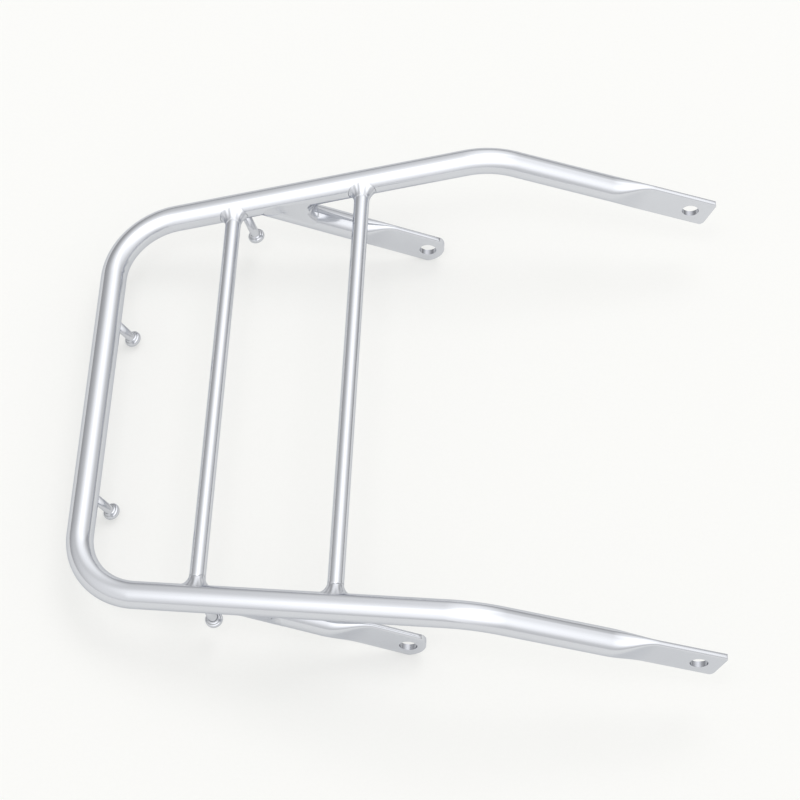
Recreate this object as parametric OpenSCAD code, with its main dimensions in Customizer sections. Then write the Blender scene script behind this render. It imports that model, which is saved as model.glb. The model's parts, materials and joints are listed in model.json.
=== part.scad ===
// Motorcycle luggage rack
// One round tube is bent into an open U that carries the load. Its two front ends turn down
// and are pressed flat and drilled for the frame bolts. Two rods cross the U, two shorter
// stays brace it from below, and four headed pins under the tube catch the luggage straps.
// Millimetres. X runs forward from the axis of the rear bar, +Y is the left side, Z is up,
// and Z = 0 is the plane of the tube's axis under the luggage.

/* [Tube and rods] */
// outside diameter of the bent tube and of the stays
tube_d = 16; // [15:0.5:18]
// wall of the tube, so a pressed tab is twice as thick
tube_wall = 1.8; // [1.5:0.1:2.5]
// diameter of the two crossing rods
rod_d = 9.5; // [8:0.5:11]

/* [Carrying frame] */
// distance between the rail axes at the rear bar
rear_w = 255; // [235:1:275]
// angle by which each rail opens out towards the front
rail_angle = 7.1; // [5:0.1:9]
// length of a rail from the rear bar to the corner of the front bend
rail_l = 237.5; // [225:0.5:260]
// centreline radius of the two rear bends
rear_bend_r = 42; // [36:1:50]
// centreline radius of the two front bends
front_bend_r = 55; // [45:1:65]
// distance of the rear crossing rod from the rear bar
rear_rod_x = 74; // [68:1:90]
// distance of the front crossing rod from the rear bar
front_rod_x = 155.5; // [140:0.5:170]

/* [Front legs] */
// angle of the bend between a rail and its leg
leg_bend = 32; // [28:0.5:38]
// distance from the corner of the front bend to the bolt hole
leg_l = 134.5; // [125:0.5:150]

/* [Stays] */
// distance from the rear bar to the point where a stay's axis crosses the rail
stay_x = 94.5; // [92:0.5:108]
// angle by which a stay drops
stay_drop = 35.5; // [32:0.5:42]
// angle by which a stay opens out in plan
stay_toe = 1.2; // [0:0.1:4]
// distance of a stay's axis inward from the rail's axis at that point
stay_inset = 1.5; // [0:0.5:3]
// distance from that point to the stay's bolt hole
stay_l = 110; // [104:0.5:120]

/* [Tabs] */
// width of a pressed tab
tab_w = 24; // [22:0.5:26]
// bolt hole in a tab
hole_d = 10.5; // [8:0.5:11]
// length over which the round tube becomes flat
press_l = 27; // [22:1:34]
// distance from the hole back to where the tab is flat
flat_l = 26; // [18:1:30]
// distance from the hole to the square end of a leg tab
leg_end_l = 13; // [12:0.5:18]
// radius of that end's upper corner
upper_corner_r = 2.5; // [1:0.5:6]
// radius of that end's lower corner
lower_corner_r = 5; // [3:0.5:9]

/* [Strap pins] */
// diameter of a pin's shank
pin_d = 5.6; // [5:0.2:7]
// diameter of a pin's head
pin_head_d = 10.4; // [9.5:0.1:12]
// thickness of a pin's head
pin_head_h = 4.6; // [4:0.1:6]
// length of a rear pin from the rear bar's axis to the end of its head
rear_pin_l = 29.9; // [26:0.1:38]
// length of a side pin from the rail's axis to the end of its head
side_pin_l = 33; // [28:0.1:40]
// distance of a rear pin from the middle
rear_pin_y = 61.4; // [45:0.1:70]
// angle by which a rear pin leans forward
rear_pin_lean = 16; // [0:1:25]
// distance of a side pin from the rear bar's axis
side_pin_x = 78; // [70:0.5:82]
// angle by which a side pin leans inward
side_pin_lean = 4; // [0:1:12]

/* [Welds] */
// width of the fillet weld at a rod's end, measured on the rail
rod_weld_w = 3; // [2:0.1:3.2]
// height to which that weld climbs along the rod
rod_weld_h = 5.5; // [3:0.5:7]
// width of the smaller welds at the pins and along the stays
weld_w = 2; // [1.5:0.1:2.5]

/* [Hidden] */
left = 1;
right = -1;
tube_r = tube_d / 2;
rod_r = rod_d / 2;
tab_t = 2 * tube_wall;
// the rear bar meets the rails at this corner, and the rail turns down at the next one
rear_corner = [0, rear_w / 2, 0];
rail_dir = [cos(rail_angle), sin(rail_angle), 0];
front_corner = rear_corner + rail_l * rail_dir;
// the front bend is rolled about the rail just so far that the leg points straight ahead
leg_roll = asin(tan(rail_angle) / tan(leg_bend));
leg_slope = asin(sin(leg_bend) * cos(leg_roll));
leg_dir = [cos(leg_slope), 0, -sin(leg_slope)];
leg_hole = front_corner + leg_l * leg_dir;
stay_dir = [cos(stay_drop) * cos(stay_toe), cos(stay_drop) * sin(stay_toe), -sin(stay_drop)];
stay_top = [stay_x, rail_y(stay_x) - stay_inset, 0];
stay_hole = stay_top + stay_l * stay_dir;
// a stay's mouth wraps the rail up to this part of the rail's radius below its axis
mouth_share = 0.35;
// a straight stretch reaches this far into the bend that it meets
lap = 0.5;
// a bend or a loft is this much thinner all round than what it runs into, so that their skins
// don't lie in each other
fit = 0.05;
// straight length that a bend takes off each side of its corner
rear_cut = rear_bend_r * tan((90 - rail_angle) / 2);
front_cut = front_bend_r * tan(leg_bend / 2);
// how far a cutter reaches past what it cuts
over = 1;
// thickness of the slices that a pressed end is lofted through
slice = 0.4;
loft_steps = 3;
smooth = 64;
bend_faces = 48;
loft_faces = 32;

// distance of a rail's axis from the middle at a distance x from the rear bar
function rail_y(x) = rear_corner[1] + x * tan(rail_angle);

// an S-shaped step from 0 to 1
function ease(t) = t * t * (3 - 2 * t);

// keeps a shape on the left or mirrors it to the right
module on_side(side) {
    mirror([0, side < 0 ? 1 : 0, 0])
        children();
}

// a round bar from p to q
module bar(p, q, d) {
    v = q - p;
    translate(p)
        rotate([0, acos(v[2] / norm(v)), atan2(v[1], v[0])])
            cylinder(d = d, h = norm(v), $fn = smooth);
}

// a straight stretch of tube along X, with what follows it placed at its end
module straight(length, d) {
    translate([-lap, 0, 0])
        rotate([0, 90, 0])
            cylinder(d = d, h = length + 2 * lap, $fn = bend_faces);
    translate([length, 0, 0])
        children();
}

// a bend in a tube that arrives along X: it turns down in a plane rolled about X, and what
// follows it is placed at its end, rolled back
module bend(angle, roll, radius, d) {
    rotate([roll, 0, 0]) {
        translate([0, 0, -radius])
            rotate([90, 0, 0])
                rotate([0, 0, 90 - angle])
                    rotate_extrude(angle = angle, $fn = smooth)
                        translate([radius, 0])
                            circle(d = d - 2 * fit, $fn = bend_faces);
        translate([radius * sin(angle), 0, -radius * (1 - cos(angle))])
            rotate([0, angle, 0])
                rotate([-roll, 0, 0])
                    children();
    }
}

// one side of the bent tube from the middle of the rear bar to the pressed end, as a tube
// bender works along it
module side_tube(d) {
    rotate([0, 0, 90])
        straight(rear_w / 2 - rear_cut, d)
            bend(90 - rail_angle, -90, rear_bend_r, d)
                straight(rail_l - rear_cut - front_cut, d)
                    bend(leg_bend, -leg_roll, front_bend_r, d)
                        straight(leg_l - front_cut - flat_l - press_l - lap, d);
}

// the flat section of a pressed tube, an oblong of width w and thickness t
module oblong(w, t) {
    square([w - t, t], center = true);
    for (end = [-1, 1])
        translate([end * (w - t) / 2, 0])
            circle(d = t, $fn = loft_faces);
}

// the pressed end of a tube that drops at the given slope: the round tube goes over in an
// S-curve to a flat tab that stands upright, and the outline of its end is given as a child
module pressed_end(hole, dir, slope, end_l) {
    start = hole - (flat_l + press_l) * dir;
    for (i = [0 : loft_steps - 1])
        hull()
            for (t = [i / loft_steps, (i + 1) / loft_steps])
                translate(start + t * press_l * dir)
                    rotate([0, 90 + slope, 0])
                        linear_extrude(height = slice, center = true)
                            oblong(
                                tube_d + ease(t) * (tab_w - tube_d) - 2 * fit,
                                tube_d + ease(t) * (tab_t - tube_d) - 2 * fit
                            );
    intersection() {
        translate(hole)
            rotate([0, 90 + slope, 0])
                translate([0, 0, -flat_l])
                    linear_extrude(height = flat_l + end_l)
                        oblong(tab_w, tab_t);
        translate(hole)
            rotate([0, slope, 0])
                rotate([90, 0, 0])
                    linear_extrude(height = tube_d, center = true)
                        children();
    }
}

// what a rounded corner takes off the square end of a leg tab
module corner_off(side, r) {
    difference() {
        translate([leg_end_l - r, side > 0 ? tab_w / 2 - r : -tab_w / 2 - over])
            square([r + over, r + over]);
        translate([leg_end_l - r, side * (tab_w / 2 - r)])
            circle(r = r, $fn = smooth);
    }
}

// the outline of a leg tab's square end with its two corners, seen from the side
module square_end() {
    difference() {
        translate([-flat_l - slice, -tab_w / 2])
            square([flat_l + slice + leg_end_l, tab_w]);
        corner_off(1, upper_corner_r);
        corner_off(-1, lower_corner_r);
    }
}

// the outline of a tab end that is one round about the hole
module round_end() {
    translate([-flat_l - slice, -tab_w / 2])
        square([flat_l + slice, tab_w]);
    circle(d = tab_w, $fn = smooth);
}

// a bolt hole straight through an upright tab
module bolt_hole(hole) {
    translate(hole)
        rotate([90, 0, 0])
            cylinder(d = hole_d, h = tube_d, center = true, $fn = smooth);
}

// the bar and the rail as bodies of diameter d that other pieces are fitted against
module rear_bar_body(d) {
    bar([0, 0, 0], rear_corner, d);
}

module rail_body(d) {
    bar(rear_corner, front_corner, d);
}

// the round length of a stay, run on through the rail, as a body of diameter d
module stay_body(d) {
    bar(stay_top - tube_d * stay_dir, stay_hole - (flat_l + press_l) * stay_dir, d);
}

// the space above the edge of a stay's mouth
module above_mouth() {
    size = 6 * tube_d;
    translate([stay_x, rail_y(stay_x), size / 2 - mouth_share * tube_r])
        cube(size, center = true);
}

module main_tube() {
    color("gainsboro")
        difference() {
            for (side = [left, right])
                on_side(side) {
                    side_tube(tube_d);
                    pressed_end(leg_hole, leg_dir, leg_slope, leg_end_l)
                        square_end();
                }
            for (side = [left, right])
                on_side(side)
                    bolt_hole(leg_hole);
        }
}

// a rod between the rails, hollowed at its ends to seat on them
module crossing_rod(x) {
    color("silver")
        difference() {
            bar([x, -rail_y(x), 0], [x, rail_y(x), 0], rod_d);
            for (side = [left, right])
                on_side(side)
                    rail_body(tube_d);
        }
}

// a stay: a tube with a mouth that wraps the underside of the rail, and a pressed lower end
module stay(side) {
    color("gainsboro")
        on_side(side)
            difference() {
                union() {
                    difference() {
                        stay_body(tube_d);
                        rail_body(tube_d);
                        above_mouth();
                    }
                    pressed_end(stay_hole, stay_dir, stay_drop, tab_w / 2)
                        round_end();
                }
                bolt_hole(stay_hole);
            }
}

// places what is drawn below the origin along Z at the foot of a pin on the tube's axis
module at_rear_pin() {
    translate([0, rear_pin_y, 0])
        rotate([0, -rear_pin_lean, 0])
            children();
}

module at_side_pin() {
    translate([side_pin_x, rail_y(side_pin_x), 0])
        rotate([-side_pin_lean, 0, rail_angle])
            children();
}

// a pin's round shank, from inside the tube down to the given length
module shank(length, r) {
    translate([0, 0, -length])
        cylinder(r = r, h = length - tube_r / 2, $fn = smooth);
}

// a shank with a rounded head on its end
module strap_pin(length) {
    rim_r = pin_head_h / 2;
    shank(length - rim_r, pin_d / 2);
    translate([0, 0, rim_r - length])
        rotate_extrude($fn = smooth) {
            translate([0, -rim_r])
                square([pin_head_d / 2 - rim_r, pin_head_h]);
            translate([pin_head_d / 2 - rim_r, 0])
                circle(r = rim_r, $fn = loft_faces);
        }
}

module rear_pin(side) {
    color("silver")
        on_side(side)
            difference() {
                at_rear_pin()
                    strap_pin(rear_pin_l);
                rear_bar_body(tube_d);
            }
}

module side_pin(side) {
    color("silver")
        on_side(side)
            difference() {
                at_side_pin()
                    strap_pin(side_pin_l);
                rail_body(tube_d);
            }
}

// the outside of the fillet weld round a rod's end: it is widest where the rail comes
// closest, tapers along the rod, and dies out on the rail's curve above and below
module rod_weld_body(x) {
    edge = rail_y(x) - tube_r / cos(rail_angle);
    back = rod_weld_w;
    translate([x, edge, 0])
        rotate([90, 0, 0]) {
            cylinder(r1 = rod_r + rod_weld_w, r2 = rod_r, h = rod_weld_h, $fn = smooth);
            translate([0, 0, -back])
                cylinder(
                    r1 = sqrt(tube_r * tube_r - (tube_r - back) * (tube_r - back)),
                    r2 = rod_r + rod_weld_w,
                    h = back,
                    $fn = smooth
                );
        }
}

// the weld where a rod meets a rail, which gives way to a side pin beside it
module rod_weld(x, side) {
    color("lightgray")
        on_side(side)
            difference() {
                rod_weld_body(x);
                rail_body(tube_d);
                bar([x, 0, 0], [x, rail_y(x), 0], rod_d);
                at_side_pin()
                    shank(tube_d, pin_d / 2);
            }
}

// the fillet weld round a pin's root, a collar on the tube that tapers down the shank
module pin_weld_body() {
    difference() {
        union() {
            shank(tube_r, pin_d / 2 + weld_w);
            translate([0, 0, -tube_r - weld_w])
                cylinder(r1 = pin_d / 2, r2 = pin_d / 2 + weld_w, h = weld_w, $fn = smooth);
        }
        shank(tube_d, pin_d / 2);
    }
}

module rear_pin_weld(side) {
    color("lightgray")
        on_side(side)
            difference() {
                at_rear_pin()
                    pin_weld_body();
                rear_bar_body(tube_d);
            }
}

module side_pin_weld(side) {
    color("lightgray")
        on_side(side)
            difference() {
                at_side_pin()
                    pin_weld_body();
                rail_body(tube_d);
                rod_weld_body(rear_rod_x);
            }
}

// the weld that follows a stay's mouth along both sides of the rail
module stay_weld(side) {
    color("lightgray")
        on_side(side)
            difference() {
                intersection() {
                    rail_body(tube_d + 2 * weld_w);
                    stay_body(tube_d + 2 * weld_w);
                }
                rail_body(tube_d);
                stay_body(tube_d);
                above_mouth();
            }
}

main_tube();
crossing_rod(rear_rod_x);  // rear_rod
crossing_rod(front_rod_x);  // front_rod
stay(left);  // stay_left
stay(right);  // stay_right
rear_pin(left);  // rear_pin_left
rear_pin(right);  // rear_pin_right
side_pin(left);  // side_pin_left
side_pin(right);  // side_pin_right
rod_weld(rear_rod_x, left);  // rear_rod_weld_left
rod_weld(rear_rod_x, right);  // rear_rod_weld_right
rod_weld(front_rod_x, left);  // front_rod_weld_left
rod_weld(front_rod_x, right);  // front_rod_weld_right
stay_weld(left);  // stay_weld_left
stay_weld(right);  // stay_weld_right
rear_pin_weld(left);  // rear_pin_weld_left
rear_pin_weld(right);  // rear_pin_weld_right
side_pin_weld(left);  // side_pin_weld_left
side_pin_weld(right);  // side_pin_weld_right
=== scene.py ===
import json
import math

import bmesh
import bpy
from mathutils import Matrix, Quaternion, Vector


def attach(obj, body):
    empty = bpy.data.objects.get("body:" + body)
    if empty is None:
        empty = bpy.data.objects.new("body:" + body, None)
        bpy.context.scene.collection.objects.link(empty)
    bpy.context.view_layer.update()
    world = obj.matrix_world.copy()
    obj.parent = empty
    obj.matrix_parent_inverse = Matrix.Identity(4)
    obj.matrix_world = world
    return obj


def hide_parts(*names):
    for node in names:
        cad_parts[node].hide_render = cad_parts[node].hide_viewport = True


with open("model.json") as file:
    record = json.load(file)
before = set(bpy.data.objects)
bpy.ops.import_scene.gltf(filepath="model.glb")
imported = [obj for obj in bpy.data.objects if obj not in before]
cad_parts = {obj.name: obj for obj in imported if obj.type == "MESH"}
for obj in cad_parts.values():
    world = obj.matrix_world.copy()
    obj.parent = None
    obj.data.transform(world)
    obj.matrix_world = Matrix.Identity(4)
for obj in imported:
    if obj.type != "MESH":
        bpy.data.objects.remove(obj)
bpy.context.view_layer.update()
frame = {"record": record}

# Motorcycle luggage rack in bright chrome on a white sheet. Sizes are in millimetres and go
# through mm() where Blender needs metres. The rear bar lies along Y at X = 0, the rails run
# forward along X, and Z = 0 is the plane of the tube's axis. Shapes are worked out for the left
# side, +Y, and mirrored for the right one.

# Bent tube: rear bar, rails that open towards the front, and legs that bend down
TUBE_R = 8.0
REAR_HALF_W = 127.5  # from the middle to where the axes of bar and rail cross
RAIL_ANGLE = math.radians(7.1)
RAIL_L = 237.5
REAR_BEND_R = 42.0
FRONT_BEND_R = 55.0
LEG_BEND = math.radians(32.0)
LEG_L = 134.5  # from the front corner to the bolt hole

# Crossing rods, by their distance ahead of the rear bar
ROD_R = 4.75
REAR_ROD_X = 74.0
FRONT_ROD_X = 155.5

# Stays under the rails
STAY_X = 94.5
STAY_DROP = math.radians(35.5)
STAY_TOE = math.radians(1.2)
STAY_INSET = 1.5  # how far inside the rail's axis a stay starts
STAY_L = 110.0  # from the rail's axis to the bolt hole
STAY_STOCK = 14.0  # how much of the uncut stay stands above the rail's axis
MOUTH_Z = -2.8  # top of the mouth that seats on the rail
SEAM_RUN_OUT = 5.0  # how far the seam's fill runs past the crotch

# Pressed, drilled tabs at the ends of legs and stays
TAB_W = 24.0
TAB_T = 3.6
HOLE_R = 5.25
PRESS_L = 27.0  # length of the change from round to flat
LEG_FLAT_L = 29.0  # from there to the hole
STAY_FLAT_L = 26.0
LEG_END_L = 13.0  # from the hole to the end
STAY_END_L = 10.0
UPPER_CORNER_R = 2.5
LOWER_CORNER_R = 5.0
BROKEN_EDGE = 0.35

# Headed strap pins
PIN_R = 2.8
PIN_HEAD_R = 5.2
PIN_HEAD_H = 4.6
NECK_R = 1.3  # hollow rounding between shank and head
UNDER_EDGE_R = 1.2
RIM_R = 2.6
DOME_H = 0.3
REAR_PIN_L = 29.9
REAR_PIN_Y = 61.4
REAR_PIN_LEAN = math.radians(16.0)
SIDE_PIN_L = 33.0
SIDE_PIN_X = 78.0
SIDE_PIN_LEAN = math.radians(4.0)
SIDE_PIN_SKEW = math.radians(3.5)  # forward on the left, back on the right

# Welds round a branch: how far they reach on the tube and climb on the branch, the height of
# their ripples, and how many there are
PIN_ROOT = {"reach": 1.7, "climb": 2.2, "ripple": 0.10, "beads": 9}
ROD_BEAD = {"reach": 4.1, "climb": 6.8, "ripple": 0.12, "beads": 13}

LEFT = 1.0
RIGHT = -1.0
RING_POINTS = 96

BAR_DIR = Vector((0.0, 1.0, 0.0))
RAIL_DIR = Vector((math.cos(RAIL_ANGLE), math.sin(RAIL_ANGLE), 0.0))
REAR_CORNER = Vector((0.0, REAR_HALF_W, 0.0))
FRONT_CORNER = REAR_CORNER + RAIL_L * RAIL_DIR
# the legs run straight ahead, so the bend's roll about the rail follows from its angle
LEG_ROLL = math.asin(math.tan(RAIL_ANGLE) / math.tan(LEG_BEND))
LEG_SLOPE = math.asin(math.sin(LEG_BEND) * math.cos(LEG_ROLL))
LEG_DIR = Vector((math.cos(LEG_SLOPE), 0.0, -math.sin(LEG_SLOPE)))
LEG_HOLE = FRONT_CORNER + LEG_L * LEG_DIR


def rail_y(x):
    """Distance of a rail's axis from the middle, x ahead of the rear bar."""
    return REAR_HALF_W + x * math.tan(RAIL_ANGLE)


STAY_DIR = Vector((math.cos(STAY_DROP) * math.cos(STAY_TOE),
                   math.cos(STAY_DROP) * math.sin(STAY_TOE), -math.sin(STAY_DROP)))
STAY_TOP = Vector((STAY_X, rail_y(STAY_X) - STAY_INSET, 0.0))
STAY_HOLE = STAY_TOP + STAY_L * STAY_DIR
REAR_PIN_FOOT = Vector((0.0, REAR_PIN_Y, 0.0))
REAR_PIN_DIR = Vector((math.sin(REAR_PIN_LEAN), 0.0, -math.cos(REAR_PIN_LEAN)))
SIDE_PIN_FOOT = Vector((SIDE_PIN_X, rail_y(SIDE_PIN_X), 0.0))
SIDE_PIN_DIR = Vector((math.sin(RAIL_ANGLE) * math.sin(SIDE_PIN_LEAN),
                       -math.cos(RAIL_ANGLE) * math.sin(SIDE_PIN_LEAN), -math.cos(SIDE_PIN_LEAN)))


def mm(*values):
    """Millimetres to metres, for one number or vector, or for three numbers as a vector."""
    if len(values) == 1:
        return values[0] / 1000.0
    return Vector(values) / 1000.0


def per_mm(size):
    """Scale of a procedural texture whose features are this many millimetres across."""
    return 1000.0 / size


def linear(hex_code):
    """An sRGB hex colour as the linear RGBA that the shaders want."""
    out = []
    for i in (1, 3, 5):
        c = int(hex_code[i:i + 2], 16) / 255.0
        out.append(c / 12.92 if c <= 0.04045 else ((c + 0.055) / 1.055) ** 2.4)
    return (*out, 1.0)


def add_node(tree, kind, settings=None, **inputs):
    """Adds a node with its settings and inputs.

    An input is named by its socket's name with _ for a space, or by its number as i0, i1 and
    so on. It is a value, or a socket to link from.
    """
    node = tree.nodes.new(kind)
    for key, value in (settings or {}).items():
        setattr(node, key, value)
    for key, value in inputs.items():
        numbered = key[0] == "i" and key[1:].isdigit()
        socket = node.inputs[int(key[1:])] if numbered else node.inputs[key.replace("_", " ")]
        if isinstance(value, bpy.types.NodeSocket):
            tree.links.new(value, socket)
        else:
            socket.default_value = value
    return node


def new_tree(name):
    """An empty material, its node tree and its output node."""
    material = bpy.data.materials.new(name)
    material.use_nodes = True
    tree = material.node_tree
    tree.nodes.clear()
    return material, tree, tree.nodes.new("ShaderNodeOutputMaterial")


# Finishes

GLANCING_TINT = linear("#D6D8DD")
HANDLING_PATCH = 28.0
POLISHING_GRAIN = 0.7  # the real one is finer and would not show
GRAIN_ROUGHNESS = 0.03
PEEL_DEPTH = 0.05
# Painted shade in corners and seams: how far round a point the shader looks for other surfaces, and
# how dark the colour gets there
PAINTED_SHADE_REACH = 3.0
PAINTED_SEAM_SHADE = 0.72


def chrome_plate(name, colour, gloss, haze, orange_peel, peel_size):
    """Bright chrome over polished steel, which mirrors its surroundings with a cold tint.

    The plating follows the polished steel, so it has a faint orange peel, and handling leaves
    hazy patches a few centimetres across. At a glancing angle it mirrors a little less. In
    corners and seams its colour is darkened as painted shade, the more the closer other surfaces
    stand round it.
    """
    material, tree, output = new_tree(name)
    place = add_node(tree, "ShaderNodeTexCoord").outputs["Object"]
    patches = add_node(tree, "ShaderNodeTexNoise", Vector=place, Scale=per_mm(HANDLING_PATCH),
                       Detail=3.0)
    grain = add_node(tree, "ShaderNodeTexNoise", Vector=place, Scale=per_mm(POLISHING_GRAIN),
                     Detail=2.0)
    peel = add_node(tree, "ShaderNodeTexNoise", Vector=place, Scale=per_mm(peel_size), Detail=2.0)
    dullness = add_node(tree, "ShaderNodeMapRange", Value=patches.outputs["Fac"], From_Min=0.35,
                        From_Max=0.75, To_Min=gloss, To_Max=haze)
    rough = add_node(tree, "ShaderNodeMath", {"operation": "MULTIPLY_ADD"},
                     i0=grain.outputs["Fac"], i1=GRAIN_ROUGHNESS, i2=dullness.outputs["Result"])
    # Painted shade: ambient occlusion darkens the chrome's colour in corners and seams
    painted_crevice_shade = add_node(tree, "ShaderNodeAmbientOcclusion", {"samples": 6}, Distance=mm(PAINTED_SHADE_REACH))
    shade = add_node(tree, "ShaderNodeMapRange", Value=painted_crevice_shade.outputs["AO"], From_Min=0.25,
                     From_Max=0.8, To_Min=PAINTED_SEAM_SHADE, To_Max=1.0)
    tint = add_node(tree, "ShaderNodeMix", {"data_type": "RGBA", "blend_type": "MULTIPLY"}, i0=1.0,
                    i6=linear(colour), i7=shade.outputs["Result"])
    bump = add_node(tree, "ShaderNodeBump", Height=peel.outputs["Fac"], Strength=orange_peel,
                    Distance=mm(PEEL_DEPTH))
    plate = add_node(tree, "ShaderNodeBsdfPrincipled", Base_Color=tint.outputs[2], Metallic=1.0,
                     Specular_Tint=GLANCING_TINT, Roughness=rough.outputs["Value"],
                     Normal=bump.outputs["Normal"])
    tree.links.new(plate.outputs["BSDF"], output.inputs["Surface"])
    return material


# The tube and the rods are polished before plating. The turned pins keep some of the tool's
# marks, and the welds their small ripples. Inside the drilled holes the chrome is duller, and
# its darker colour there is painted shade in the bores.
tube_chrome = chrome_plate("chrome_on_bent_tube", "#D6D8DD", 0.09, 0.15, 0.20, 6.0)
rod_chrome = chrome_plate("chrome_on_drawn_rod", "#D6D8DD", 0.08, 0.13, 0.20, 4.0)
pin_chrome = chrome_plate("chrome_on_turned_pin", "#CFD1D6", 0.13, 0.20, 0.30, 2.5)
weld_chrome = chrome_plate("chrome_over_weld_bead", "#D2D4D9", 0.16, 0.26, 0.40, 1.6)
# Painted shade: the bores' chrome is darker than the rest to stand for the shade inside the holes
bore_chrome_painted_shade = chrome_plate("chrome_in_drilled_hole_painted_shade", "#B2B4BA", 0.12, 0.20, 0.50, 0.9)

FINISH_OF_SLOT = {"tube": tube_chrome, "rod": rod_chrome, "pin": pin_chrome, "weld": weld_chrome}
slot_of_node = {row["node"]: row["material_slot"] for row in frame["record"]["subparts"]}


# Sections, paths and skins

def mirrored(point, side):
    """A point of the left half, or its mirror image on the right."""
    return Vector((point.x, side * point.y, point.z))


def ease(t):
    """An S-shaped step from 0 to 1."""
    t = min(max(t, 0.0), 1.0)
    return t * t * (3.0 - 2.0 * t)


def oblong(width, thick):
    """The section of a pressed tube, a circle where its two sizes are equal.

    As the flats grow, the points crowd into the tight folds so that these stay round.
    """
    full_crowding_flat = 5.0
    quarter = RING_POINTS // 4
    flat = (width - thick) / 2.0
    arc = math.pi * thick / 4.0
    crowding = min(1.0, flat / full_crowding_flat)
    fold = []
    for i in range(quarter + 1):
        f = i / quarter
        crowded = arc * min(1.0, 2.0 * f) + flat * max(0.0, 2.0 * f - 1.0)
        way = (1.0 - crowding) * (flat + arc) * f + crowding * crowded
        if way <= arc:
            turn = 2.0 * way / thick
            fold.append((flat + thick / 2.0 * math.cos(turn), thick / 2.0 * math.sin(turn)))
        else:
            fold.append((flat - (way - arc), thick / 2.0))
    back = fold[:0:-1]
    return (fold[:-1] + [(-u, v) for u, v in back]
            + [(-u, -v) for u, v in fold[:-1]] + [(u, -v) for u, v in back])


def ring(centre, across, over, width, thick):
    """A section placed with its width along one direction and its thickness along the other."""
    return [centre + u * across + v * over for u, v in oblong(width, thick)]


def bent_path(corners, radii):
    """Points and directions along straights and arcs, with a bend radius for each inner corner."""
    longest_step = 12.0
    turn_step = 2.5
    path = []
    ways = [(q - p).normalized() for p, q in zip(corners, corners[1:])]
    cuts = [radius * math.tan(before.angle(after) / 2.0)
            for before, after, radius in zip(ways, ways[1:], radii)]
    for i, way in enumerate(ways):
        start = corners[i] + (cuts[i - 1] if i > 0 else 0.0) * way
        end = corners[i + 1] - (cuts[i] if i < len(cuts) else 0.0) * way
        steps = max(1, round((end - start).length / longest_step))
        for k in range(0 if i == 0 else 1, steps + 1):
            path.append((start.lerp(end, k / steps), way))
        if i < len(cuts):
            after = ways[i + 1]
            turn = way.angle(after)
            inward = (after - way * way.dot(after)).normalized()
            centre = end + radii[i] * inward
            steps = max(2, round(math.degrees(turn) / turn_step))
            for k in range(1, steps + 1):
                part = turn * k / steps
                point = centre + radii[i] * (math.sin(part) * way - math.cos(part) * inward)
                path.append((point, math.cos(part) * way + math.sin(part) * inward))
    return path


def carried_rings(path, across, over, diameter):
    """Round sections along a path, the last with the given directions.

    The others turn with the path from there and don't twist.
    """
    rings = []
    later = None
    for point, way in reversed(path):
        if later is not None:
            turn = later.rotation_difference(way)
            across = turn @ across
            over = turn @ over
        rings.append(ring(point, across, over, diameter, diameter))
        later = way
    rings.reverse()
    return rings


def tab_directions(way):
    """The upward and the sideways direction of a tab that runs this way."""
    upward = Vector((-way.z, 0.0, way.x)).normalized()
    return upward, way.cross(upward).normalized()


def pressed_rings(hole, way, flat_l, end_l):
    """Sections from the round tube over the S-curve of the press and on along the flat tab."""
    press_steps = 30
    flat_steps = 4
    upward, sideways = tab_directions(way)
    start = hole - (flat_l + PRESS_L) * way
    rings = []
    for k in range(1, press_steps + 1):
        t = ease(k / press_steps)
        rings.append(ring(start + PRESS_L * k / press_steps * way, upward, sideways,
                          2.0 * TUBE_R + t * (TAB_W - 2.0 * TUBE_R),
                          2.0 * TUBE_R + t * (TAB_T - 2.0 * TUBE_R)))
    for k in range(1, flat_steps + 1):
        rings.append(ring(start + (PRESS_L + (flat_l + end_l) * k / flat_steps) * way,
                          upward, sideways, TAB_W, TAB_T))
    return rings


def skin(name, rings, joined=False):
    """A closed mesh through rings of as many points each. joined links the last to the first."""
    builder = bmesh.new()
    loops = [[builder.verts.new(mm(point)) for point in points] for points in rings]
    pairs = list(zip(loops, loops[1:]))
    if joined:
        pairs.append((loops[-1], loops[0]))
    for one, two in pairs:
        for i in range(len(one)):
            j = (i + 1) % len(one)
            builder.faces.new((one[i], one[j], two[j], two[i]))
    if not joined:
        builder.faces.new(loops[0])
        builder.faces.new(loops[-1])
    bmesh.ops.recalc_face_normals(builder, faces=builder.faces)
    for face in builder.faces:
        face.smooth = True
    mesh = bpy.data.meshes.new(name)
    builder.to_mesh(mesh)
    builder.free()
    obj = bpy.data.objects.new(name, mesh)
    bpy.context.collection.objects.link(obj)
    return obj


def round_bar(name, start, end, radius):
    """A plain round bar."""
    longest_step = 10.0
    way = (end - start).normalized()
    across = way.orthogonal().normalized()
    over = way.cross(across)
    steps = max(1, round((end - start).length / longest_step))
    return skin(name, [ring(start.lerp(end, k / steps), across, over, 2.0 * radius, 2.0 * radius)
                       for k in range(steps + 1)])


def prism(outline, half_depth):
    """Rings of an upright plate along Y with the given outline of X and Z."""
    return [[point + Vector((0.0, y, 0.0)) for point in outline] for y in (-half_depth, half_depth)]


# Tools of the workshop: saws, drills and shears

CLEAR = 5.0  # how far a cutting tool goes past the metal
SPARE = 3.0  # metal beyond a tab's end that the shears take off


def cut(obj, cutters):
    """Takes the cutters out of a piece and removes them."""
    for cutter in cutters:
        modifier = obj.modifiers.new("cut", "BOOLEAN")
        modifier.operation = "DIFFERENCE"
        modifier.solver = "EXACT"
        modifier.object = cutter
    graph = bpy.context.evaluated_depsgraph_get()
    result = bpy.data.meshes.new_from_object(obj.evaluated_get(graph), depsgraph=graph)
    obj.modifiers.clear()
    obj.data = result
    for polygon in result.polygons:
        polygon.use_smooth = True
    for cutter in cutters:
        bpy.data.objects.remove(cutter)
    return obj


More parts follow.
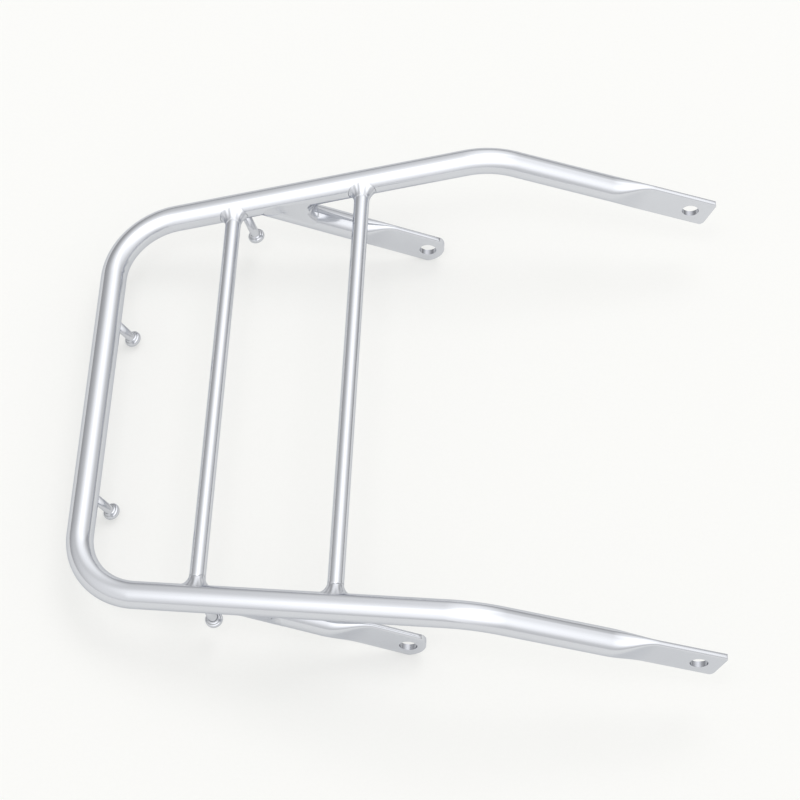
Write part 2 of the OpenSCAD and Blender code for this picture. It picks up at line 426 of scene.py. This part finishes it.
def break_edges(obj):
    """Softens the edges that a saw, a drill or the shears leave, and keeps flats flat."""
    bevel = obj.modifiers.new("broken_edges", "BEVEL")
    bevel.limit_method = "ANGLE"
    bevel.angle_limit = math.radians(40.0)
    bevel.width = mm(BROKEN_EDGE)
    bevel.segments = 2
    obj.modifiers.new("flats_stay_flat", "WEIGHTED_NORMAL")
    return obj


def drill(hole, side):
    """The drill through a tab."""
    facets = 64
    centre = mirrored(hole, side)
    turns = [math.tau * k / facets for k in range(facets)]
    outline = [centre + HOLE_R * Vector((math.cos(t), 0.0, math.sin(t))) for t in turns]
    return skin("drill", prism(outline, 2.0 * TAB_T))


def rounded_corner(centre_u, centre_v, radius, start, end):
    """Points of a rounded corner between two angles in degrees."""
    steps = max(6, round(abs(end - start) / 6.0))
    turns = [math.radians(start + (end - start) * k / steps) for k in range(steps + 1)]
    return [(centre_u + radius * math.cos(t), centre_v + radius * math.sin(t)) for t in turns]


def shears(hole, way, side, outline, start_u):
    """What the shears take off a tab beyond an outline of its end, seen from the side."""
    upward = tab_directions(way)[0]
    flat_way = Vector((way.x, 0.0, way.z)).normalized()
    far_u = max(u for u, v in outline) + 2.0 * CLEAR
    wide = TAB_W / 2.0 + CLEAR
    points = outline + [(outline[-1][0], -wide), (far_u, -wide), (far_u, wide), (start_u, wide)]
    centre = mirrored(hole, side)
    return skin("shears", prism([centre + u * flat_way + v * upward for u, v in points],
                                3.0 * TAB_T))


# The pieces

def main_tube():
    """The bent tube: rear bar, rails and legs with their pressed and drilled ends."""
    half = TAB_W / 2.0
    upper_u = LEG_END_L - UPPER_CORNER_R
    lower_u = LEG_END_L - LOWER_CORNER_R
    square_end = (rounded_corner(upper_u, half - UPPER_CORNER_R, UPPER_CORNER_R, 90, 0)
                  + rounded_corner(lower_u, LOWER_CORNER_R - half, LOWER_CORNER_R, 0, -90))
    tab = pressed_rings(LEG_HOLE, LEG_DIR, LEG_FLAT_L, LEG_END_L + SPARE)
    press_start = LEG_HOLE - (LEG_FLAT_L + PRESS_L) * LEG_DIR
    path = bent_path([Vector((0.0, 0.0, 0.0)), REAR_CORNER, FRONT_CORNER, press_start],
                     [REAR_BEND_R, FRONT_BEND_R])
    left = carried_rings(path, *tab_directions(LEG_DIR), 2.0 * TUBE_R) + tab
    right = [[mirrored(point, RIGHT) for point in points] for points in reversed(left[1:])]
    obj = skin("bent_tube", right + left)
    cutters = []
    for side in (LEFT, RIGHT):
        cutters.append(drill(LEG_HOLE, side))
        cutters.append(shears(LEG_HOLE, LEG_DIR, side, square_end, upper_u))
    return break_edges(cut(obj, cutters))


def crossing_rod(name, x):
    """A rod whose ends run a little way into the rails."""
    end = rail_y(x) - TUBE_R / 2.0
    return round_bar(name, Vector((x, -end, 0.0)), Vector((x, end, 0.0)), ROD_R)


def stay(side):
    """A stay: its mouth is sawn to the rail, and its lower end is pressed, rounded and drilled."""
    seat_lap = 0.02
    half = TAB_W / 2.0
    round_end = [(STAY_END_L / half * u, v) for u, v in rounded_corner(0.0, 0.0, half, 90, -90)]
    tab = pressed_rings(STAY_HOLE, STAY_DIR, STAY_FLAT_L, half + SPARE)
    press_start = STAY_HOLE - (STAY_FLAT_L + PRESS_L) * STAY_DIR
    path = bent_path([STAY_TOP - STAY_STOCK * STAY_DIR, press_start], [])
    rings = carried_rings(path, *tab_directions(STAY_DIR), 2.0 * TUBE_R) + tab
    rings = [[mirrored(point, side) for point in points] for points in rings]
    obj = skin("stay_tube_left" if side == LEFT else "stay_tube_right", rings)
    rail_saw = round_bar("rail_saw", mirrored(REAR_CORNER, side), mirrored(FRONT_CORNER, side),
                         TUBE_R - seat_lap)
    size = 60.0
    low = mirrored(Vector((STAY_X, rail_y(STAY_X), MOUTH_Z)), side)
    outline = ((-size, 0.0), (size, 0.0), (size, size), (-size, size))
    mouth_saw = skin("mouth_saw", prism([low + Vector((x, 0.0, z)) for x, z in outline], size))
    cutters = [drill(STAY_HOLE, side), shears(STAY_HOLE, STAY_DIR, side, round_end, 0.0),
               rail_saw, mouth_saw]
    return break_edges(cut(obj, cutters))


def strap_pin(name, foot, way, length, side):
    """A headed pin: shank, hollow neck, and a head with a soft rim and a slight dome."""
    under = length - PIN_HEAD_H
    quarters = [math.pi / 2.0 * k / 4.0 for k in range(5)]
    fine_quarters = [math.pi / 2.0 * k / 8.0 for k in range(9)]
    profile = [(TUBE_R / 2.0, PIN_R), (under - NECK_R, PIN_R)]
    profile += [(under - NECK_R + NECK_R * math.sin(t), PIN_R + NECK_R * (1.0 - math.cos(t)))
                for t in quarters[1:]]
    profile += [(under + UNDER_EDGE_R * (1.0 - math.cos(t)),
                 PIN_HEAD_R - UNDER_EDGE_R + UNDER_EDGE_R * math.sin(t)) for t in quarters]
    profile += [(length - DOME_H - RIM_R + RIM_R * math.sin(t),
                 PIN_HEAD_R - RIM_R + RIM_R * math.cos(t)) for t in fine_quarters]
    profile += [(length - 0.4 * DOME_H, 1.4), (length, 0.3)]
    way = mirrored(way, side)
    across = way.orthogonal().normalized()
    over = way.cross(across)
    return skin(name, [ring(mirrored(foot, side) + along * way, across, over, 2.0 * r, 2.0 * r)
                       for along, r in profile])


def weld(name, foot, branch_dir, main_dir, branch_r, seed, side, reach, climb, ripple, beads):
    """A fillet weld where a round branch stands on a round tube.

    For each angle round the branch it runs from the branch's side, the climb away from the
    tube, to the tube's skin, the reach away from the branch. It is hollow next to the branch
    and full at its foot. Its ripples swell between the two edges and die out at them.
    """
    steps, rows = 120, 9
    hollow = 0.10
    full_foot = 0.6
    tube_sink, branch_sink = 0.06, 0.04
    upright = branch_dir - branch_dir.dot(main_dir) * main_dir
    side_dir = upright.normalized()
    turn_dir = main_dir.cross(side_dir)
    u_dir = (main_dir - main_dir.dot(branch_dir) * branch_dir).normalized()
    v_dir = branch_dir.cross(u_dir)
    rings = []
    for i in range(steps):
        turn = math.tau * i / steps
        wobble = math.sin(3.0 * turn + seed) * 0.5 + math.sin(5.0 * turn + 2.3 * seed) * 0.5
        wave = math.sin(beads * turn + 0.9 * math.sin(2.0 * turn + seed))
        # where this line of the branch's side meets the tube's skin
        out = branch_r * (math.cos(turn) * u_dir + math.sin(turn) * v_dir)
        flat = out - out.dot(main_dir) * main_dir
        a, b, c = upright.dot(upright), 2.0 * flat.dot(upright), flat.dot(flat) - TUBE_R * TUBE_R
        root = (-b + math.sqrt(b * b - 4.0 * a * c)) / (2.0 * a)
        seam = out + root * branch_dir
        along = seam.dot(main_dir)
        arc = TUBE_R * math.atan2(seam.dot(turn_dir), seam.dot(side_dir))
        # the foot lies on the tube's skin, straight away from the branch
        away = Vector((along - root * branch_dir.dot(main_dir), arc)).normalized()
        spread = reach * (1.0 + 0.10 * wobble)
        angle = (arc + away.y * spread) / TUBE_R
        low = (foot + (along + away.x * spread) * main_dir
               + (TUBE_R - tube_sink) * (math.cos(angle) * side_dir + math.sin(angle) * turn_dir))
        high = (foot + out * (1.0 - branch_sink / branch_r)
                + (root + climb * (1.0 + 0.08 * wobble)) * branch_dir)
        seam = foot + seam
        middle = (low + high) / 2.0
        belly = seam.lerp(middle, hollow)
        points = []
        for k in range(rows + 1):
            t = k / rows
            point = (1.0 - t) ** 2 * high + 2.0 * t * (1.0 - t) * belly + t * t * low
            swell = (ripple * wave + full_foot * t) * math.sin(math.pi * t) ** 1.5
            points.append(point + swell * (middle - seam).normalized())
        points.append(seam.lerp(foot, 0.02))
        rings.append([mirrored(point, side) for point in points])
    return skin(name, rings, joined=True)


def outer_hull(points):
    """The convex outline round some points."""
    points = sorted(points)
    chains = []
    for row in (points, points[::-1]):
        chain = []
        for p in row:
            while len(chain) > 1 and ((chain[-1][0] - chain[-2][0]) * (p[1] - chain[-2][1])
                                      <= (chain[-1][1] - chain[-2][1]) * (p[0] - chain[-2][0])):
                chain.pop()
            chain.append(p)
        chains.append(chain[:-1])
    return chains[0] + chains[1]


def reach_in(outline, start, turn):
    """How far a ray goes until it leaves an outline for good, or 0 where it misses it."""
    dx, dz = math.cos(turn), math.sin(turn)
    best = 0.0
    for (ax, az), (bx, bz) in zip(outline, outline[1:] + outline[:1]):
        ex, ez = bx - ax, bz - az
        across = dx * ez - dz * ex
        if abs(across) > 1e-12:
            way = ((ax - start[0]) * ez - (az - start[1]) * ex) / across
            part = ((ax - start[0]) * dz - (az - start[1]) * dx) / across
            if way > best and -1e-9 <= part <= 1.0 + 1e-9:
                best = way
    return best


def stay_seam(side):
    """The long seam under a rail, filled and filed smooth.

    It is built in slices across the rail. Each is the outline round the rail's section and the
    stay's, so the stay's flanks run up into the rail's. Past the crotch, where the two sections
    part, the fill dies out. Both ends dive under the skins, so that their caps never show.
    """
    steps = 36
    heel = -5.0
    under_skin = 0.04
    dive_depth = 0.8
    out = Vector((-RAIL_DIR.y, RAIL_DIR.x, 0.0))
    top = STAY_TOP - REAR_CORNER
    forward, sideways, down = STAY_DIR.dot(RAIL_DIR), STAY_DIR.dot(out), -STAY_DIR.z
    radius = TUBE_R - under_skin
    tall = radius / forward
    crotch = (TUBE_R + TUBE_R / forward) / down * forward
    turns = [math.tau * k / RING_POINTS for k in range(RING_POINTS)]
    rail = [(radius * math.cos(a), radius * math.sin(a)) for a in turns]
    rings = []
    for i in range(steps + 1):
        ahead = heel + (crotch - heel + SEAM_RUN_OUT) * i / steps
        t = ahead / forward
        middle = (top.dot(out) + t * sideways, -t * down)
        branch = [(middle[0] + radius * math.cos(a), middle[1] + tall * math.sin(a)) for a in turns]
        branch = [p for p in branch if p[1] < MOUTH_Z]
        core = (middle[0] / 2.0, (middle[1] + tall - radius) / 2.0)
        if core[1] > 0.0:
            core = (0.0, 0.0)
        hull = outer_hull(rail + branch)
        fill = 1.0 - ease((ahead - crotch + 2.0) / (SEAM_RUN_OUT + 2.0))
        dive = dive_depth * (ease((ahead - crotch - SEAM_RUN_OUT + 4.0) / 4.0)
                             + ease((-2.0 - ahead) / 3.0))
        centre = REAR_CORNER + (top.dot(RAIL_DIR) + ahead) * RAIL_DIR
        points = []
        for a in turns:
            plain = max(reach_in(rail, core, a), reach_in(branch, core, a))
            length = max(0.0, plain + fill * (reach_in(hull, core, a) - plain) - dive)
            points.append(centre + (core[0] + length * math.cos(a)) * out
                          + Vector((0.0, 0.0, core[1] + length * math.sin(a))))
        rings.append([mirrored(point, side) for point in points])
    return skin("stay_seam_left" if side == LEFT else "stay_seam_right", rings)


def hand_in(obj, node):
    """Gives a piece its finish and puts it in the place of its CAD node."""
    slot = slot_of_node[node]
    obj.data.materials.clear()
    obj.data.materials.append(FINISH_OF_SLOT[slot])
    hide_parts(node)
    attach(obj, "root")
    return obj


def line_bores(obj, holes):
    """Gives the walls of drilled holes a duller chrome whose darker colour is painted shade in the
    bore.
    """
    obj.data.materials.append(bore_chrome_painted_shade)
    for polygon in obj.data.polygons:
        for hole in holes:
            off = polygon.center - mm(hole)
            if math.hypot(off.x, off.z) < mm(HOLE_R + 0.05) and abs(off.y) < mm(2.0 * TAB_T):
                if abs(polygon.normal.y) < 0.5:
                    polygon.material_index = 1


tube = hand_in(main_tube(), "main_tube")
line_bores(tube, [mirrored(LEG_HOLE, LEFT), mirrored(LEG_HOLE, RIGHT)])
hand_in(crossing_rod("rear_rod_bar", REAR_ROD_X), "rear_rod")
hand_in(crossing_rod("front_rod_bar", FRONT_ROD_X), "front_rod")
for word, side in (("left", LEFT), ("right", RIGHT)):
    line_bores(hand_in(stay(side), "stay_" + word), [mirrored(STAY_HOLE, side)])
    hand_in(strap_pin("rear_strap_pin_" + word, REAR_PIN_FOOT, REAR_PIN_DIR, REAR_PIN_L, side),
            "rear_pin_" + word)
    lean = SIDE_PIN_DIR + side * math.sin(SIDE_PIN_SKEW) * RAIL_DIR
    hand_in(strap_pin("side_strap_pin_" + word, SIDE_PIN_FOOT, lean.normalized(), SIDE_PIN_L,
                      side), "side_pin_" + word)
    hand_in(weld("rear_pin_root_" + word, REAR_PIN_FOOT, REAR_PIN_DIR, BAR_DIR, PIN_R,
                 1.0 + side, side, **PIN_ROOT), "rear_pin_weld_" + word)
    hand_in(weld("side_pin_root_" + word, SIDE_PIN_FOOT, SIDE_PIN_DIR, RAIL_DIR, PIN_R,
                 2.0 + side, side, **PIN_ROOT), "side_pin_weld_" + word)
    for name, x, seed in (("rear", REAR_ROD_X, 0.4), ("front", FRONT_ROD_X, 1.7)):
        hand_in(weld(name + "_rod_bead_" + word, Vector((x, rail_y(x), 0.0)), -BAR_DIR, RAIL_DIR,
                     ROD_R, seed + side, side, **ROD_BEAD), name + "_rod_weld_" + word)
    hand_in(stay_seam(side), "stay_weld_" + word)


# Camera at the photograph's viewing angle

CAMERA_AT = mm(473.8, -759.0, 1177.5)
CAMERA_AIM = mm(186.7, -14.0, 0.0)
CAMERA_ROLL = math.radians(-21.83)
LENS = 109.89
SENSOR = 36.0

camera_data = bpy.data.cameras.new("photo_camera")
camera_data.lens = LENS
camera_data.sensor_width = SENSOR
camera_data.clip_end = 20.0
camera = bpy.data.objects.new("photo_camera", camera_data)
camera.location = CAMERA_AT
camera.rotation_mode = "QUATERNION"
level_aim = (CAMERA_AIM - CAMERA_AT).to_track_quat("-Z", "Y")
camera.rotation_quaternion = level_aim @ Quaternion((0, 0, 1), CAMERA_ROLL)
bpy.context.collection.objects.link(camera)
bpy.context.scene.camera = camera


# The white sheet that the rack lies on. The rack stands on the rims of its rear pins and on the
# lower edges of the stays' tabs, which both are taken as round with the same small radius.

TOUCH_R = 1.5
SHEET_GAP = 0.1
SHEET_R = 1400.0

rim_out = Vector((-REAR_PIN_DIR.z, 0.0, REAR_PIN_DIR.x))
rim = REAR_PIN_DIR * (REAR_PIN_L - TOUCH_R) - (PIN_HEAD_R - TOUCH_R) * rim_out
span_x, span_z = STAY_HOLE.x - rim.x, STAY_HOLE.z - rim.z
sheet_slope = (math.atan2(span_z, span_x)
               - math.asin((TAB_W / 2.0 - TOUCH_R) / math.hypot(span_x, span_z)))
sheet_down = Vector((math.sin(sheet_slope), 0.0, -math.cos(sheet_slope)))

sheet_mesh = bpy.data.meshes.new("white_sheet")
builder = bmesh.new()
bmesh.ops.create_circle(builder, cap_ends=True, segments=96, radius=mm(SHEET_R))
builder.to_mesh(sheet_mesh)
builder.free()
sheet = bpy.data.objects.new("white_sheet", sheet_mesh)
sheet.location = mm(rim + sheet_down * (TOUCH_R + SHEET_GAP))
sheet.rotation_euler = (0.0, -sheet_slope, 0.0)
bpy.context.collection.objects.link(sheet)


def white_paper():
    """Matt white background paper.

    Part of its white is there for the camera and the chrome alone, so that the rack's shadow on
    it stays as faint as in a room with light from all sides.
    """
    own_white = 0.46
    material, tree, output = new_tree("white_background_paper")
    place = add_node(tree, "ShaderNodeTexCoord").outputs["Object"]
    fibre = add_node(tree, "ShaderNodeTexNoise", Vector=place, Scale=per_mm(2.0), Detail=3.0)
    tone = add_node(tree, "ShaderNodeMix", {"data_type": "RGBA"}, i0=fibre.outputs["Fac"],
                    i6=linear("#BBBBB9"), i7=linear("#BFBFBD"))
    paper = add_node(tree, "ShaderNodeBsdfDiffuse", Color=tone.outputs[2])
    path = add_node(tree, "ShaderNodeLightPath")
    seen = add_node(tree, "ShaderNodeMath", {"operation": "MAXIMUM"},
                    i0=path.outputs["Is Camera Ray"], i1=path.outputs["Is Glossy Ray"])
    share = add_node(tree, "ShaderNodeMath", {"operation": "MULTIPLY"}, i0=seen.outputs["Value"],
                     i1=own_white)
    glow = add_node(tree, "ShaderNodeEmission", Color=linear("#FEFEFC"),
                    Strength=share.outputs["Value"])
    both = add_node(tree, "ShaderNodeAddShader", i0=paper.outputs["BSDF"],
                    i1=glow.outputs["Emission"])
    tree.links.new(both.outputs["Shader"], output.inputs["Surface"])
    return material


sheet_mesh.materials.append(white_paper())


# Studio light: a pale room, a large soft window to the far right and a lamp near the camera.
# The chrome mirrors the room's walls and not the lamps.

LAMP_DISTANCE = 4.0
SEEN_LEVEL = 0.97
FILL_LEVEL = 0.84
WALL_LEVEL = 0.448
# brighter patches of wall: direction, cosine to it where the patch starts and where it is full,
# and what it adds
WALL_PATCHES = (
    ((0.68, -0.47, 0.57), 0.298, 0.425, 0.292),
    ((0.20, 0.77, 0.61), 0.693, 1.645, 3.182),
    ((-0.26, -0.44, 0.86), 0.244, 0.909, 0.533),
    ((0.43, -0.20, 0.88), 0.420, 1.000, 0.586),
)


def softbox(name, direction, size, power):
    """A round soft lamp aimed at the rack, its size in metres and its power in watts."""
    lamp = bpy.data.lights.new(name, "AREA")
    lamp.shape = "DISK"
    lamp.size = size
    lamp.energy = power
    obj = bpy.data.objects.new(name, lamp)
    way = Vector(direction).normalized()
    obj.location = CAMERA_AIM + way * LAMP_DISTANCE
    obj.rotation_mode = "QUATERNION"
    obj.rotation_quaternion = (-way).to_track_quat("-Z", "Y")
    obj.visible_glossy = False
    bpy.context.collection.objects.link(obj)


def studio_room():
    """The room: white to the camera, an even fill on the sheet, and bright and grey walls that
    the chrome mirrors."""
    world = bpy.data.worlds.new("studio_room")
    world.use_nodes = True
    tree = world.node_tree
    tree.nodes.clear()
    way = add_node(tree, "ShaderNodeTexCoord").outputs["Generated"]
    path = add_node(tree, "ShaderNodeLightPath")
    walls = WALL_LEVEL
    for direction, start, full, added in WALL_PATCHES:
        facing = add_node(tree, "ShaderNodeVectorMath", {"operation": "DOT_PRODUCT"}, i0=way,
                          i1=Vector(direction).normalized())
        patch = add_node(tree, "ShaderNodeMapRange", {"interpolation_type": "SMOOTHSTEP"},
                         Value=facing.outputs["Value"], From_Min=start, From_Max=full,
                         To_Min=0.0, To_Max=added)
        walls = add_node(tree, "ShaderNodeMath", {"operation": "ADD"}, i0=patch.outputs["Result"],
                         i1=walls).outputs["Value"]
    unseen = add_node(tree, "ShaderNodeMix", {"data_type": "FLOAT"},
                      i0=path.outputs["Is Glossy Ray"], i2=FILL_LEVEL, i3=walls)
    level = add_node(tree, "ShaderNodeMix", {"data_type": "FLOAT"},
                     i0=path.outputs["Is Camera Ray"], i2=unseen.outputs[0], i3=SEEN_LEVEL)
    sky = add_node(tree, "ShaderNodeBackground", Color=(1.0, 1.0, 1.0, 1.0),
                   Strength=level.outputs[0])
    output = tree.nodes.new("ShaderNodeOutputWorld")
    tree.links.new(sky.outputs["Background"], output.inputs["Surface"])
    return world


softbox("window_light", (0.40, 0.44, 0.81), 2.2, 24.0)
softbox("camera_side_light", (0.05, -0.30, 0.95), 1.0, 9.0)
bpy.context.scene.world = studio_room()
bpy.context.scene.view_settings.view_transform = "Standard"
